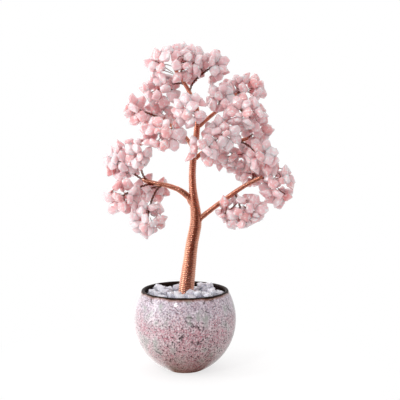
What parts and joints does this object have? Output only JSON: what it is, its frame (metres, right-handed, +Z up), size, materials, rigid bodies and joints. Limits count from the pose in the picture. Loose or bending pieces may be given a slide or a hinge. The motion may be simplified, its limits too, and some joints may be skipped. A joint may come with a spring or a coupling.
{
  "type": "gemstone tree ornament",
  "caption": "Ornamental wire tree with rose-quartz chip flowers on copper branches, a wire-bound trunk and a round glazed pot filled with quartz gravel.",
  "frame": {"origin": "centre of the pot's flat foot, on the surface it stands on", "axes": "+Z up along the pot's axis, +X to the right as seen from the front, +Y away from the viewer"},
  "size_m": [0.1421, 0.0775, 0.2437],
  "materials": {
    "glazed_stoneware": "glossy reactive glaze, pale grey with pink speckle, dark iron-brown lip",
    "plaster": "matt cast plaster",
    "clear_quartz": "tumbled clear to white quartz chips",
    "rose_quartz": "polished translucent tumbled chips",
    "copper_wire": "bare bright copper wire"
  },
  "bodies": {
    "root": {"centre_right_stones": "rose_quartz", "centre_right_wires": "copper_wire", "centre_stones": "rose_quartz", "centre_wires": "copper_wire", "far_left_stones": "rose_quartz", "far_left_wires": "copper_wire", "front_stones": "rose_quartz", "front_wires": "copper_wire", "gravel": "clear_quartz", "left_bottom_stones": "rose_quartz", "left_bottom_wires": "copper_wire", "left_branch": "copper_wire", "left_hang_stones": "rose_quartz", "left_hang_wires": "copper_wire", "left_inner_stones": "rose_quartz", "left_inner_wires": "copper_wire", "left_outer_stones": "rose_quartz", "left_outer_wires": "copper_wire", "left_shoulder_stones": "rose_quartz", "left_shoulder_wires": "copper_wire", "left_tip_stones": "rose_quartz", "left_tip_wires": "copper_wire", "lower_middle_stones": "rose_quartz", "lower_middle_wires": "copper_wire", "lower_right_stones": "rose_quartz", "lower_right_wires": "copper_wire", "middle_branch": "copper_wire", "middle_stones": "rose_quartz", "middle_wires": "copper_wire", "plaster": "plaster", "pot": "glazed_stoneware", "right_branch": "copper_wire", "right_inner_stones": "rose_quartz", "right_inner_wires": "copper_wire", "right_low_stones": "rose_quartz", "right_low_wires": "copper_wire", "right_shoulder_stones": "rose_quartz", "right_shoulder_wires": "copper_wire", "right_stones": "rose_quartz", "right_tip_stones": "rose_quartz", "right_tip_wires": "copper_wire", "right_wires": "copper_wire", "top_back_stones": "rose_quartz", "top_back_wires": "copper_wire", "top_branch": "copper_wire", "top_left_stones": "rose_quartz", "top_left_wires": "copper_wire", "top_right_stones": "rose_quartz", "top_right_wires": "copper_wire", "top_stones": "rose_quartz", "top_wires": "copper_wire", "trunk": "copper_wire", "trunk_binding": "copper_wire", "upper_left_branch": "copper_wire", "upper_left_stones": "rose_quartz", "upper_left_wires": "copper_wire", "upper_right_branch": "copper_wire", "upper_right_stones": "rose_quartz", "upper_right_wires": "copper_wire"}
  },
  "joints": []
}
